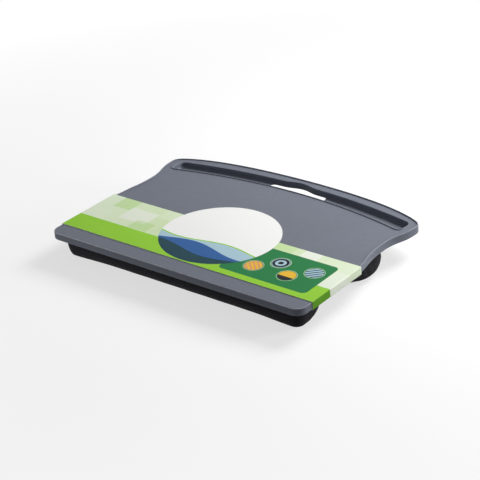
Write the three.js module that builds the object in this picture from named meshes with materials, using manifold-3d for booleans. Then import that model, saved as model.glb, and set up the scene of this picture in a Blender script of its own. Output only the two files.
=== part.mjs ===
// Lap desk: a moulded tray with a pen trough and a hand slot along its rear edge, a base panel screwed
// into its underside, two bead-filled bolsters under the panel, and a printed card sleeve round its front.
// Millimetres, +Z up, standing on z = 0. The model is drawn with y running back from the tray's front edge
// and is centred by the group at the end.

import * as THREE from 'three';
import { mergeVertices } from 'three/addons/utils/BufferGeometryUtils.js';
import Module from 'manifold-3d';

const wasm = await Module();
wasm.setup();

// Tray outline seen from above
const TRAY_WIDTH = 500;            // across the straight front part of the sides
const TRAY_DEPTH = 366;            // front edge to the middle of the arched rear edge
const FRONT_CORNER_RADIUS = 18;
const SIDE_STRAIGHT_END = 130;     // behind the front edge, where the sides start to draw in
const WAIST_DRAW_IN = 11.5;        // of each side at the waist, from its straight part
const WAIST_FROM_REAR = 130;
const WING_FLARE = 2;              // of each rear corner beyond the straight part of its side
const WING_FROM_REAR = 52;
const SHOULDER_FROM_REAR = 34;     // where the rear arch meets the rounding of the wing
const SHOULDER_INSET = 14;         // the same place, in from the wing's widest line
const SHOULDER_FALL = 7;           // how far the rounding falls over that inset
const ARCH_END_HANDLE = 48;        // pull of the arch's slope beside the wings
const ARCH_MIDDLE_HANDLE = 100;    // flat stretch each side of the arch's middle

// Tray section
const RIM_HEIGHT = 12;
const TOP_EDGE_RADIUS = 2.5;
const TOP_THICKNESS = 3;
const TRAY_WALL = 2.5;
const RIB_THICKNESS = 1.6;
const RIB_SPACING = 75;

// Pen trough and hand slot
const TROUGH_REAR_BAR = 17.5;      // bar left between the trough and the rear edge at the middle
const TROUGH_WIDTH = 28.5;         // front to rear at the middle
const TROUGH_END_BAR = 17;         // from the trough's end to the wing's widest line
const TROUGH_REAR_BOW = 27.6;      // how far the ends of its rear edge lie in front of the middle
const TROUGH_FRONT_BOW = 31.4;     // the same for its front edge
const TROUGH_DEPTH = 10;
const TROUGH_CORNER = 10;          // length of each side that a rounded corner takes up
const TROUGH_FLOOR_RADIUS = 4;
const SLOT_LENGTH = 114;
const SLOT_FRONT_MARGIN = 6;       // floor left between the trough's front edge and the slot
const SLOT_CORNER = 9;
const SLOT_RELIEF = 0.2;           // cut into the trough's rear wall, so that no edge of floor is left there
const GRIP_LENGTH = 68;            // finger hollow in the rear wall, above the slot
const GRIP_DEPTH = 6;

// Base panel and its screws
const PANEL_THICKNESS = 2.5;
const PANEL_RECESS = 0.5;          // above the rim's lower edge
const PANEL_CLEARANCE = 0.5;       // round its edge
const SEAT_GAP = 0.3;              // between pieces that rest on each other
const SCREW_SHANK = 3;
const SCREW_LENGTH = 7.5;
const SCREW_POINT = 1.4;
const SCREW_HEAD = 7;
const SCREW_HEAD_HEIGHT = 2.2;
const SCREW_CLEARANCE = 0.3;       // round the shank
const BOSS_DIAMETER = 8.5;
const PILOT_MARGIN = 0.6;          // depth left past the screw's point
const EDGE_SCREW_MARGIN = 10;      // front screws behind the front edge
const TROUGH_SCREW_MARGIN = 14;    // rear screws in front of the trough
const OUTER_SCREW_INSET = 60;      // outer screws of the front and rear rows, in from the straight sides
const CHANNEL_SCREW_INSET = 35;    // the same for the row between the bolsters
const INNER_SCREW_SPREAD = 150;    // between the inner screws of that row

// Bolsters
const BOLSTER_DROP = 37;           // from the rim's lower edge down to the ground
const FABRIC_THICKNESS = 1.2;
const BULGE_HEIGHT = 18;           // of the fullest line above the ground
const FOOT_SPREAD = 26;            // from the fullest line in to where the crown would level out
const REST_CUT = 0.5;              // depth of crown that the ground flattens
const HEM_INSET = 9;               // of the sewn hem from the fullest line
const HEM_WIDTH = 8;               // fabric turned in flat under the panel
const LEAST_CORNER = 3;
const SIDE_DRAW_IN = 2.5;          // of a long side between its corners
const END_DRAW_IN = 0.5;           // of a short end between its corners
const FILL_GAP = 0.3;
const FRONT_BOLSTER_SETBACK = 13;  // behind the tray's front edge
const FRONT_BOLSTER_DEPTH = 73;
const FRONT_BOLSTER_END_INSET = 13; // inside the tray's straight sides
const FRONT_BOLSTER_CORNER = 24;
const CHANNEL_WIDTH = 58;          // between the bolsters, for air under the tray
const REAR_BOLSTER_FROM_REAR = 92; // in front of the middle of the rear edge
const REAR_BOLSTER_END_INSET = 1;  // inside the waist
const REAR_BOLSTER_END_FLAT = 6;   // straight stretch between the corners of its rounded ends

// Card sleeve
const CARD_THICKNESS = 0.6;
const SLEEVE_GAP = 0.3;
const SLEEVE_SETBACK = 31;         // behind the tray's front edge
const SLEEVE_DEPTH = 127;
const SLEEVE_TUCK = 11;            // of each flap under the rim
const OVAL_WIDTH = 200;            // die-cut oval whose rear half stands out as a tab
const OVAL_DEPTH = 195;
const TAB_REACH = 70.5;            // how far the tab stands out behind the band

// Smoothness of the curves, in steps
const OUTLINE_STEPS = 8;
const EDGE_STEPS = 3;
const TROUGH_FRONT_STEPS = 20;
const TROUGH_REAR_STEPS = 44;
const CORNER_STEPS = 4;
const FLOOR_STEPS = 3;
const SLOT_STEPS = 12;
const BOLSTER_CORNER_STEPS = 5;
const BOLSTER_SIDE_STEPS = 8;
const BOLSTER_END_STEPS = 2;
const COVER_LOWER_STEPS = 5;
const COVER_UPPER_STEPS = 4;
const LINING_LOWER_STEPS = 3;
const LINING_UPPER_STEPS = 2;
const SCREW_HEAD_STEPS = 3;
const OVAL_STEPS = 64;
const ROUND_STEPS = 12;
const CUT_PAST = 2;                // how far a cut runs past the face that it opens
const ON_AXIS = 1e-6;              // nearer the plane of symmetry than this, a point has no mirror image

// Levels and lines that follow from the sizes
const rimBottom = BOLSTER_DROP;
const trayTop = rimBottom + RIM_HEIGHT;
const plateUnderside = trayTop - TOP_THICKNESS;
const troughFloor = trayTop - TROUGH_DEPTH;
const panelBottom = rimBottom + PANEL_RECESS;
const panelTop = panelBottom + PANEL_THICKNESS;
const hemLevel = panelBottom - SEAT_GAP;
const screwHole = SCREW_SHANK + 2 * SCREW_CLEARANCE;
const sideX = TRAY_WIDTH / 2;
const waistX = sideX - WAIST_DRAW_IN;
const wingX = sideX + WING_FLARE;
const troughHalf = wingX - TROUGH_END_BAR;
const troughRearMiddle = TRAY_DEPTH - TROUGH_REAR_BAR;
const troughFrontMiddle = troughRearMiddle - TROUGH_WIDTH;
const channelFront = FRONT_BOLSTER_SETBACK + FRONT_BOLSTER_DEPTH;
const channelRear = channelFront + CHANNEL_WIDTH;
const rearBolsterDepth = TRAY_DEPTH - REAR_BOLSTER_FROM_REAR - channelRear;

// Materials, in the colours of the photographed pieces
function finish(color, roughness, metalness = 0) {
  return new THREE.MeshStandardMaterial({ color, roughness, metalness });
}
const slatePlastic = finish(0x767c88, 0.55);
const blackPlastic = finish(0x1d1d20, 0.6);
const blackFabric = finish(0x1b1a1e, 0.95);
const beadFill = finish(0xe9e9e6, 0.9);
const zincSteel = finish(0x8e9196, 0.4, 1);
const printedCard = finish(0x9bcf52, 0.5);

// Geometry helpers
function vertexGeometry(positions, index) {
  const geometry = new THREE.BufferGeometry();
  geometry.setAttribute('position', new THREE.Float32BufferAttribute(positions, 3));
  geometry.setIndex(index);
  return geometry;
}

function toSolid(geometry) {
  geometry.deleteAttribute('normal');
  geometry.deleteAttribute('uv');
  const merged = mergeVertices(geometry);
  const mesh = new wasm.Mesh({
    numProp: 3,
    vertProperties: new Float32Array(merged.attributes.position.array),
    triVerts: new Uint32Array(merged.index.array),
  });
  return new wasm.Manifold(mesh);
}

function toGeometry(solid) {
  const mesh = solid.getMesh();
  return vertexGeometry(Array.from(mesh.vertProperties), Array.from(mesh.triVerts));
}

function ringAt(points, z) {
  return points.map((point) => new THREE.Vector3(point.x, point.y, z));
}

// Closed skin over a run of rings with equal point counts, capped at its first and last ring
function skin(rings) {
  const count = rings[0].length;
  const positions = rings.flat().flatMap((point) => point.toArray());
  const index = [];
  for (let r = 0; r + 1 < rings.length; r += 1) {
    for (let i = 0; i < count; i += 1) {
      const a = r * count + i;
      const b = r * count + ((i + 1) % count);
      index.push(a, b, b + count, a, b + count, a + count);
    }
  }
  const flat = (ring) => ring.map((point) => new THREE.Vector2(point.x, point.y));
  for (const [a, b, c] of THREE.ShapeUtils.triangulateShape(flat(rings[0]), [])) {
    index.push(c, b, a);
  }
  const last = (rings.length - 1) * count;
  for (const [a, b, c] of THREE.ShapeUtils.triangulateShape(flat(rings.at(-1)), [])) {
    index.push(last + a, last + b, last + c);
  }
  return vertexGeometry(positions, index);
}

function prism(points, bottom, top) {
  return toSolid(skin([ringAt(points, bottom), ringAt(points, top)]));
}

function block(width, depth, bottom, top, x, y) {
  const geometry = new THREE.BoxGeometry(width, depth, top - bottom);
  geometry.translate(x, y, (bottom + top) / 2);
  return toSolid(geometry);
}

function post(diameter, bottom, top, x, y) {
  const geometry = new THREE.CylinderGeometry(diameter / 2, diameter / 2, top - bottom, ROUND_STEPS);
  geometry.rotateX(Math.PI / 2);
  geometry.translate(x, y, (bottom + top) / 2);
  return toSolid(geometry);
}

// Counter-clockwise outline moved inwards, square to its edges; a negative distance moves it outwards
function inset(points, distance) {
  return points.map((point, i) => {
    const before = point.clone().sub(points.at(i - 1)).normalize();
    const after = points[(i + 1) % points.length].clone().sub(point).normalize();
    const inward = new THREE.Vector2(-before.y - after.y, before.x + after.x);
    return point.clone().addScaledVector(inward, (2 * distance) / inward.lengthSq());
  });
}

function mirrored(point) {
  return new THREE.Vector2(-point.x, point.y);
}

// Closed outline from its right half, which runs from the front to the rear
function symmetric(half) {
  const left = half.filter((point) => Math.abs(point.x) > ON_AXIS).map(mirrored).reverse();
  return [...half, ...left];
}

// Steps of a rounded corner from one point to another, leaving out the start
function roundCorner(from, corner, to, steps) {
  return new THREE.QuadraticBezierCurve(from, corner, to).getPoints(steps).slice(1);
}

// Tray
function trayOutline() {
  const waistY = TRAY_DEPTH - WAIST_FROM_REAR;
  const wingY = TRAY_DEPTH - WING_FROM_REAR;
  const shoulderX = wingX - SHOULDER_INSET;
  const shoulderY = TRAY_DEPTH - SHOULDER_FROM_REAR;
  const shoulderSlope = SHOULDER_FALL / SHOULDER_INSET;
  const side = new THREE.Path();
  const bend = (fromX, fromY, toX, toY) => {
    const middle = (fromY + toY) / 2;
    side.bezierCurveTo(fromX, middle, toX, middle, toX, toY);
  };
  side.moveTo(sideX - FRONT_CORNER_RADIUS, 0);
  side.absarc(sideX - FRONT_CORNER_RADIUS, FRONT_CORNER_RADIUS, FRONT_CORNER_RADIUS, -Math.PI / 2, 0);
  side.lineTo(sideX, SIDE_STRAIGHT_END);
  bend(sideX, SIDE_STRAIGHT_END, waistX, waistY);
  bend(waistX, waistY, wingX, wingY);
  side.quadraticCurveTo(wingX, shoulderY - SHOULDER_FALL, shoulderX, shoulderY);
  side.bezierCurveTo(
    shoulderX - ARCH_END_HANDLE, shoulderY + ARCH_END_HANDLE * shoulderSlope,
    ARCH_MIDDLE_HANDLE, TRAY_DEPTH, 0, TRAY_DEPTH,
  );
  return symmetric(side.getPoints(OUTLINE_STEPS));
}

function troughFront(x) {
  return troughFrontMiddle - TROUGH_FRONT_BOW * (x / troughHalf) ** 2;
}

function troughRear(x) {
  const fromMiddle = Math.min(Math.abs(x) / (GRIP_LENGTH / 2), 1);
  const grip = (GRIP_DEPTH * (1 + Math.cos(Math.PI * fromMiddle))) / 2;
  return troughRearMiddle - TROUGH_REAR_BOW * (x / troughHalf) ** 2 + grip;
}

// Evenly stepped points along a line y = line(x)
function along(line, from, to, steps) {
  return Array.from({ length: steps + 1 }, (unused, i) => {
    const x = from + ((to - from) * i) / steps;
    return new THREE.Vector2(x, line(x));
  });
}

// Outline between a front and a rear line, with square ends at plus and minus half and rounded corners
function bandOutline(front, rear, half, corner, frontSteps, rearSteps) {
  const frontRun = along(front, corner - half, half - corner, frontSteps);
  const rearRun = along(rear, half - corner, corner - half, rearSteps);
  const frontEnd = new THREE.Vector2(half, front(half));
  const rearEnd = new THREE.Vector2(half, rear(half));
  const frontTurn = new THREE.Vector2(half, front(half) + corner);
  const rearTurn = new THREE.Vector2(half, rear(half) - corner);
  const rightEnd = [
    ...roundCorner(frontRun.at(-1), frontEnd, frontTurn, CORNER_STEPS),
    rearTurn,
    ...roundCorner(rearTurn, rearEnd, rearRun[0], CORNER_STEPS).slice(0, -1),
  ];
  const leftEnd = rightEnd.map(mirrored).reverse();
  return [...frontRun, ...rightEnd, ...rearRun, ...leftEnd];
}

function troughOutline() {
  return bandOutline(
    troughFront, troughRear, troughHalf, TROUGH_CORNER,
    TROUGH_FRONT_STEPS, TROUGH_REAR_STEPS,
  );
}

function slotOutline() {
  const front = (x) => troughFront(x) + SLOT_FRONT_MARGIN;
  const rear = (x) => troughRear(x) + SLOT_RELIEF;
  return bandOutline(front, rear, SLOT_LENGTH / 2, SLOT_CORNER, SLOT_STEPS, SLOT_STEPS);
}

// Level and inset of each ring of a quarter-round edge, from its upright side to its flat face
function quarterRound(radius, steps) {
  return Array.from({ length: steps + 1 }, (unused, i) => {
    const turn = (i / steps) * (Math.PI / 2);
    return { inset: radius * (1 - Math.cos(turn)), rise: radius * Math.sin(turn) };
  });
}

function screwPlaces() {
  const outer = sideX - OUTER_SCREW_INSET;
  const channelOuter = sideX - CHANNEL_SCREW_INSET;
  const channelInner = INNER_SCREW_SPREAD / 2;
  const channelMiddle = (channelFront + channelRear) / 2;
  const edgeRow = [-outer, 0, outer];
  const channelRow = [-channelOuter, -channelInner, channelInner, channelOuter];
  return [
    ...edgeRow.map((x) => new THREE.Vector2(x, EDGE_SCREW_MARGIN)),
    ...channelRow.map((x) => new THREE.Vector2(x, channelMiddle)),
    ...edgeRow.map((x) => new THREE.Vector2(x, troughFront(x) - TROUGH_SCREW_MARGIN)),
  ];
}

function trayGeometry() {
  const outline = trayOutline();
  const trough = troughOutline();
  const topEdge = quarterRound(TOP_EDGE_RADIUS, EDGE_STEPS);
  const outside = toSolid(skin([
    ringAt(outline, rimBottom),
    ...topEdge.map((step) => ringAt(inset(outline, step.inset), trayTop - TOP_EDGE_RADIUS + step.rise)),
  ]));

  // The hollow underneath leaves the ribs, the screw bosses and the walls of the trough standing
  const ribBottom = panelTop + SEAT_GAP;
  const ribTop = trayTop - TOP_THICKNESS / 2;
  let hollow = prism(inset(outline, TRAY_WALL), rimBottom - CUT_PAST, plateUnderside);
  hollow = hollow.subtract(prism(inset(trough, -TRAY_WALL), rimBottom - 2 * CUT_PAST, trayTop));
  for (let x = 0; x < wingX; x += RIB_SPACING) {
    for (const side of x > 0 ? [-x, x] : [x]) {
      hollow = hollow.subtract(block(RIB_THICKNESS, 2 * TRAY_DEPTH, ribBottom, ribTop, side, TRAY_DEPTH / 2));
    }
  }
  for (let y = RIB_SPACING; y < troughFrontMiddle; y += RIB_SPACING) {
    hollow = hollow.subtract(block(4 * wingX, RIB_THICKNESS, ribBottom, ribTop, 0, y));
  }
  for (const place of screwPlaces()) {
    hollow = hollow.subtract(post(BOSS_DIAMETER, ribBottom, ribTop, place.x, place.y));
  }
  let tray = outside.subtract(hollow);

  const pilotTop = hemLevel + SCREW_LENGTH + PILOT_MARGIN;
  for (const place of screwPlaces()) {
    tray = tray.subtract(post(screwHole, ribBottom - CUT_PAST, pilotTop, place.x, place.y));
  }

  // The trough is cut from above with a rounded foot all round, then the hand slot right through its floor
  const floorEdge = quarterRound(TROUGH_FLOOR_RADIUS, FLOOR_STEPS).reverse();
  const floorEdgeTop = troughFloor + TROUGH_FLOOR_RADIUS;
  tray = tray.subtract(toSolid(skin([
    ...floorEdge.map((step) => ringAt(inset(trough, step.inset), floorEdgeTop - step.rise)),
    ringAt(trough, trayTop + CUT_PAST),
  ])));
  tray = tray.subtract(prism(slotOutline(), rimBottom - CUT_PAST, trayTop + CUT_PAST));
  return toGeometry(tray);
}

// Base panel
function basePanelGeometry() {
  const margin = TRAY_WALL + PANEL_CLEARANCE;
  const beyond = 2 * wingX;
  const keepOut = [
    ...along((x) => troughFront(x) - margin, -beyond, beyond, TROUGH_FRONT_STEPS),
    new THREE.Vector2(beyond, 2 * TRAY_DEPTH),
    new THREE.Vector2(-beyond, 2 * TRAY_DEPTH),
  ];
  let panel = prism(inset(trayOutline(), margin), panelBottom, panelTop);
  panel = panel.subtract(prism(keepOut, panelBottom - CUT_PAST, panelTop + CUT_PAST));
  for (const place of screwPlaces()) {
    panel = panel.subtract(post(screwHole, panelBottom - CUT_PAST, panelTop + CUT_PAST, place.x, place.y));
  }
  return toGeometry(panel);
}

// Round-headed screw, head down, with its bearing face at z = 0
function screwGeometry() {
  const shank = SCREW_SHANK / 2;
  const head = Array.from({ length: SCREW_HEAD_STEPS + 1 }, (unused, i) => {
    const turn = (i / SCREW_HEAD_STEPS) * (Math.PI / 2);
    return new THREE.Vector2((SCREW_HEAD / 2) * Math.sin(turn), -SCREW_HEAD_HEIGHT * Math.cos(turn));
  });
  const profile = [
    ...head,
    new THREE.Vector2(shank, 0),
    new THREE.Vector2(shank, SCREW_LENGTH - SCREW_POINT),
    new THREE.Vector2(0, SCREW_LENGTH),
  ];
  const geometry = new THREE.LatheGeometry(profile, ROUND_STEPS);
  geometry.rotateX(Math.PI / 2);
  return geometry;
}

// Bolsters: rounded oblongs, fullest a little below half height, drawn in to a hem under the panel
const bolsters = {
  front: {
    halfLength: sideX - FRONT_BOLSTER_END_INSET,
    halfDepth: FRONT_BOLSTER_DEPTH / 2,
    corner: FRONT_BOLSTER_CORNER,
    middle: FRONT_BOLSTER_SETBACK + FRONT_BOLSTER_DEPTH / 2,
  },
  rear: {
    halfLength: waistX - REAR_BOLSTER_END_INSET,
    halfDepth: rearBolsterDepth / 2,
    corner: (rearBolsterDepth - REAR_BOLSTER_END_FLAT) / 2,
    middle: channelRear + rearBolsterDepth / 2,
  },
};

// One ring of a bolster: an oblong whose sides bow in between its rounded corners
function bolsterRing(bolster, insetBy, z) {
  const halfLength = bolster.halfLength - insetBy;
  const halfDepth = bolster.halfDepth - insetBy;
  const corner = Math.max(bolster.corner - insetBy, LEAST_CORNER);
  const straightX = halfLength - corner;
  const straightY = halfDepth - corner;
  const half = [];
  const bowedSide = (steps, place) => {
    for (let i = 1; i < steps; i += 1) {
      const t = (2 * i) / steps - 1;
      half.push(place(t, 1 - t * t));
    }
  };
  const cornerArc = (x, y, start) => {
    for (let i = 0; i <= BOLSTER_CORNER_STEPS; i += 1) {
      const turn = start + (i / BOLSTER_CORNER_STEPS) * (Math.PI / 2);
      half.push(new THREE.Vector2(x + corner * Math.cos(turn), y + corner * Math.sin(turn)));
    }
  };
  bowedSide(BOLSTER_SIDE_STEPS, (t, bow) => new THREE.Vector2(t * straightX, SIDE_DRAW_IN * bow - halfDepth));
  cornerArc(straightX, -straightY, -Math.PI / 2);
  bowedSide(BOLSTER_END_STEPS, (t, bow) => new THREE.Vector2(halfLength - END_DRAW_IN * bow, t * straightY));
  cornerArc(straightX, straightY, 0);
  const turned = half.map((point) => new THREE.Vector2(-point.x, -point.y));
  return [...half, ...turned].map((point) => new THREE.Vector3(point.x, bolster.middle + point.y, z));
}

// Side of a bolster from the ground to the hem, as inset from the fullest line and height
function bolsterSide(lowerSteps, upperSteps) {
  const crown = BULGE_HEIGHT + REST_CUT;
  const restTurn = Math.acos(1 - REST_CUT / crown);
  const side = [];
  for (let i = 0; i <= lowerSteps; i += 1) {
    const turn = restTurn + (i / lowerSteps) * (Math.PI / 2 - restTurn);
    side.push({ inset: FOOT_SPREAD * (1 - Math.sin(turn)), z: crown * (1 - Math.cos(turn)) - REST_CUT });
  }
  for (let i = 1; i <= upperSteps; i += 1) {
    const turn = (i / upperSteps) * (Math.PI / 2);
    side.push({
      inset: HEM_INSET * (1 - Math.cos(turn)),
      z: BULGE_HEIGHT + (hemLevel - BULGE_HEIGHT) * Math.sin(turn),
    });
  }
  return side;
}

// The same side moved inwards by a wall, between a lower and an upper face that keep the wall's thickness
function innerSide(wall) {
  const squeeze = (hemLevel - 2 * wall) / hemLevel;
  const side = bolsterSide(LINING_LOWER_STEPS, LINING_UPPER_STEPS);
  return side.map((step) => ({ inset: step.inset + wall, z: wall + step.z * squeeze }));
}

// Fabric cover: closed below and at the sides, open above inside the hem that is turned in under the panel
function coverGeometry(bolster) {
  const hemEdge = HEM_INSET + HEM_WIDTH;
  const outer = bolsterSide(COVER_LOWER_STEPS, COVER_UPPER_STEPS);
  const hem = [
    { inset: hemEdge, z: hemLevel },
    { inset: hemEdge, z: hemLevel - FABRIC_THICKNESS },
  ];
  const inner = innerSide(FABRIC_THICKNESS).reverse();
  return skin([...outer, ...hem, ...inner].map((step) => bolsterRing(bolster, step.inset, step.z)));
}

// Bead fill: fills the cover and swells up through the hem's opening to the panel
function fillGeometry(bolster) {
  const neck = HEM_INSET + HEM_WIDTH + FILL_GAP;
  const body = innerSide(FABRIC_THICKNESS + FILL_GAP);
  const crown = [
    { inset: neck, z: body.at(-1).z },
    { inset: neck, z: hemLevel },
  ];
  return skin([...body, ...crown].map((step) => bolsterRing(bolster, step.inset, step.z)));
}

// Card sleeve: a band over the tray's top and sides, tucked under the rim, with an oval tab behind
function sleeveGeometry() {
  const inside = sideX + SLEEVE_GAP;
  const outside = inside + CARD_THICKNESS;
  const tuck = inside - SLEEVE_TUCK;
  const topInside = trayTop + SLEEVE_GAP;
  const topOutside = topInside + CARD_THICKNESS;
  const bottomInside = rimBottom - SLEEVE_GAP;
  const bottomOutside = bottomInside - CARD_THICKNESS;
  const rightHalf = [
    [outside, topOutside], [outside, bottomOutside], [tuck, bottomOutside],
    [tuck, bottomInside], [inside, bottomInside], [inside, topInside],
  ].map(([x, z]) => new THREE.Vector2(x, z));
  const sleeveRear = SLEEVE_SETBACK + SLEEVE_DEPTH;
  const band = new THREE.ExtrudeGeometry(new THREE.Shape(symmetric(rightHalf)), {
    depth: SLEEVE_DEPTH,
    bevelEnabled: false,
  });
  band.rotateX(Math.PI / 2);
  band.translate(0, sleeveRear, 0);

  const oval = new THREE.Shape();
  const ovalMiddle = sleeveRear + TAB_REACH - OVAL_DEPTH / 2;
  oval.absellipse(0, ovalMiddle, OVAL_WIDTH / 2, OVAL_DEPTH / 2, 0, 2 * Math.PI);
  const tab = prism(oval.getSpacedPoints(OVAL_STEPS).slice(0, -1), topInside, topOutside);
  return toGeometry(toSolid(band).add(tab));
}

// Assembly
const lapDesk = new THREE.Group();
lapDesk.position.y = -TRAY_DEPTH / 2;

function addPiece(name, geometry, material) {
  const mesh = new THREE.Mesh(geometry, material);
  mesh.name = name;
  lapDesk.add(mesh);
  return mesh;
}

addPiece('tray', trayGeometry(), slatePlastic);
addPiece('base_panel', basePanelGeometry(), blackPlastic);
for (const [i, place] of screwPlaces().entries()) {
  const screw = addPiece(`panel_screw_${i + 1}`, screwGeometry(), zincSteel);
  screw.position.set(place.x, place.y, hemLevel);
}
for (const [end, bolster] of Object.entries(bolsters)) {
  addPiece(`${end}_bolster_cover`, coverGeometry(bolster), blackFabric);
  addPiece(`${end}_bolster_fill`, fillGeometry(bolster), beadFill);
}
addPiece('card_sleeve', sleeveGeometry(), printedCard);

export default lapDesk;
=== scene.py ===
"""Lap desk: the looks of a moulded tray on two bead-filled bolsters, with a printed card sleeve.

Laid out as an add-on with one operator for each piece or group of like pieces. Lengths are in metres, in the
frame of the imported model: +X to the user's right, +Y away from the user, +Z up, standing on z = 0.
"""

import math

import bmesh
import bpy
import numpy as np
from bpy.props import FloatProperty, FloatVectorProperty, PointerProperty
from mathutils import Matrix, Vector
from mathutils.bvhtree import BVHTree


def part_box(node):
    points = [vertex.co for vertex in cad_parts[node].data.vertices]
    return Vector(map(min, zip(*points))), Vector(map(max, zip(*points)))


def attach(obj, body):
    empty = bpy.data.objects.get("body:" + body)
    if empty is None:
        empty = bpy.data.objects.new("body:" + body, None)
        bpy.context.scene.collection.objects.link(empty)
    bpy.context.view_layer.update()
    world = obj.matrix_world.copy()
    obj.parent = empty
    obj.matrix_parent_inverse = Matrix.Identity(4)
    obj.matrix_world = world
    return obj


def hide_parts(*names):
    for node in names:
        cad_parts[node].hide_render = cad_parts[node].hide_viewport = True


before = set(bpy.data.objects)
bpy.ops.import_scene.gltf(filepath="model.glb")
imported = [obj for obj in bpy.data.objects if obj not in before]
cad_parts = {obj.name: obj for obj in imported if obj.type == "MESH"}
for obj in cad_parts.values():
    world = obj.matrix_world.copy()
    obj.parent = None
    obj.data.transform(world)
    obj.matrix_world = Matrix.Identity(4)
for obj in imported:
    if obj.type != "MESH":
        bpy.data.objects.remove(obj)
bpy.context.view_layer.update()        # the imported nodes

bl_info = {
    "name": "Lap Desk",
    "version": (1, 0, 0),
    "blender": (4, 5, 0),
    "location": "View3D > Sidebar > Lap Desk",
    "description": "Dresses a packed lap desk with its tray, bolsters, screws and card sleeve",
    "category": "Add Mesh",
}

MM = 0.001
DOUBLES = 0.01 * MM
QUARTER = math.pi / 2
TURN = 2 * math.pi
WHITE = (1.0, 1.0, 1.0, 1.0)

# Places that the frame gives
TRAY_LOW, TRAY_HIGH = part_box("tray")
PANEL_LOW, PANEL_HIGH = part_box("base_panel")
SLEEVE_LOW, SLEEVE_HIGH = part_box("card_sleeve")
FRONT_EDGE = TRAY_LOW.y
REAR_EDGE = TRAY_HIGH.y
TRAY_TOP = TRAY_HIGH.z
RIM_BOTTOM = TRAY_LOW.z
WING_X = TRAY_HIGH.x
SCREW_NODES = sorted(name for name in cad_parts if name.startswith("panel_screw_"))

# Lower end of the ribs and screw bosses, just clear of the panel
RIB_BOTTOM = PANEL_HIGH.z + 0.3 * MM

# Steps round a screw or a boss
ROUND_STEPS = 24

# Soft oblongs on the sleeve's pale print: left and right edge, near and far edge behind the lime band,
# strength and colour
PALE_TINTS = (
    (-0.252, -0.205, 0.000, 0.034, 0.45, "mist"),
    (-0.222, -0.186, 0.048, 0.083, 0.38, "lime"),
    (-0.186, -0.130, 0.020, 0.060, 0.50, "white"),
    (-0.150, -0.112, 0.000, 0.028, 0.32, "lime"),
    (-0.128, -0.092, 0.052, 0.083, 0.45, "mist"),
    (0.092, 0.134, 0.062, 0.083, 0.25, "lime"),
    (0.150, 0.182, 0.060, 0.083, 0.60, "white"),
    (0.228, 0.252, 0.000, 0.050, 0.35, "white"),
)

# Waves in the sleeve's oval: level from its middle, height, shift along the wave and colour
OVAL_WAVES = (
    (-0.028, 0.007, 0.4, "lime"),
    (-0.031, 0.007, 0.4, "sky"),
    (-0.046, 0.009, 2.2, "blue"),
    (-0.064, 0.008, 4.1, "teal"),
)


# Settings

def length(label, text, millimetres):
    """A size that a user may change, kept in metres."""
    return FloatProperty(
        name=label, description=text, default=millimetres * MM, min=0.0, precision=4, unit="LENGTH")


def angle(label, text, degrees):
    """An angle that a user may change."""
    return FloatProperty(name=label, description=text, default=math.radians(degrees), subtype="ANGLE")


def power(label, text, watts):
    """Power of a lamp that a user may change."""
    return FloatProperty(name=label, description=text, default=watts, min=0.0, unit="POWER")


def point(label, text, place):
    """A place in metres that a user may change."""
    return FloatVectorProperty(
        name=label, description=text, default=place, size=3, subtype="XYZ", unit="LENGTH")


def paint(label, text, *screen):
    """A colour that a user may change, written in a screen's 0 to 255 and kept as linear shares."""
    shares = [value / 255 for value in screen]
    linear = [s / 12.92 if s <= 0.04045 else ((s + 0.055) / 1.055) ** 2.4 for s in shares]
    return FloatVectorProperty(
        name=label, description=text, default=linear, size=3, min=0, max=1, subtype="COLOR")


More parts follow.
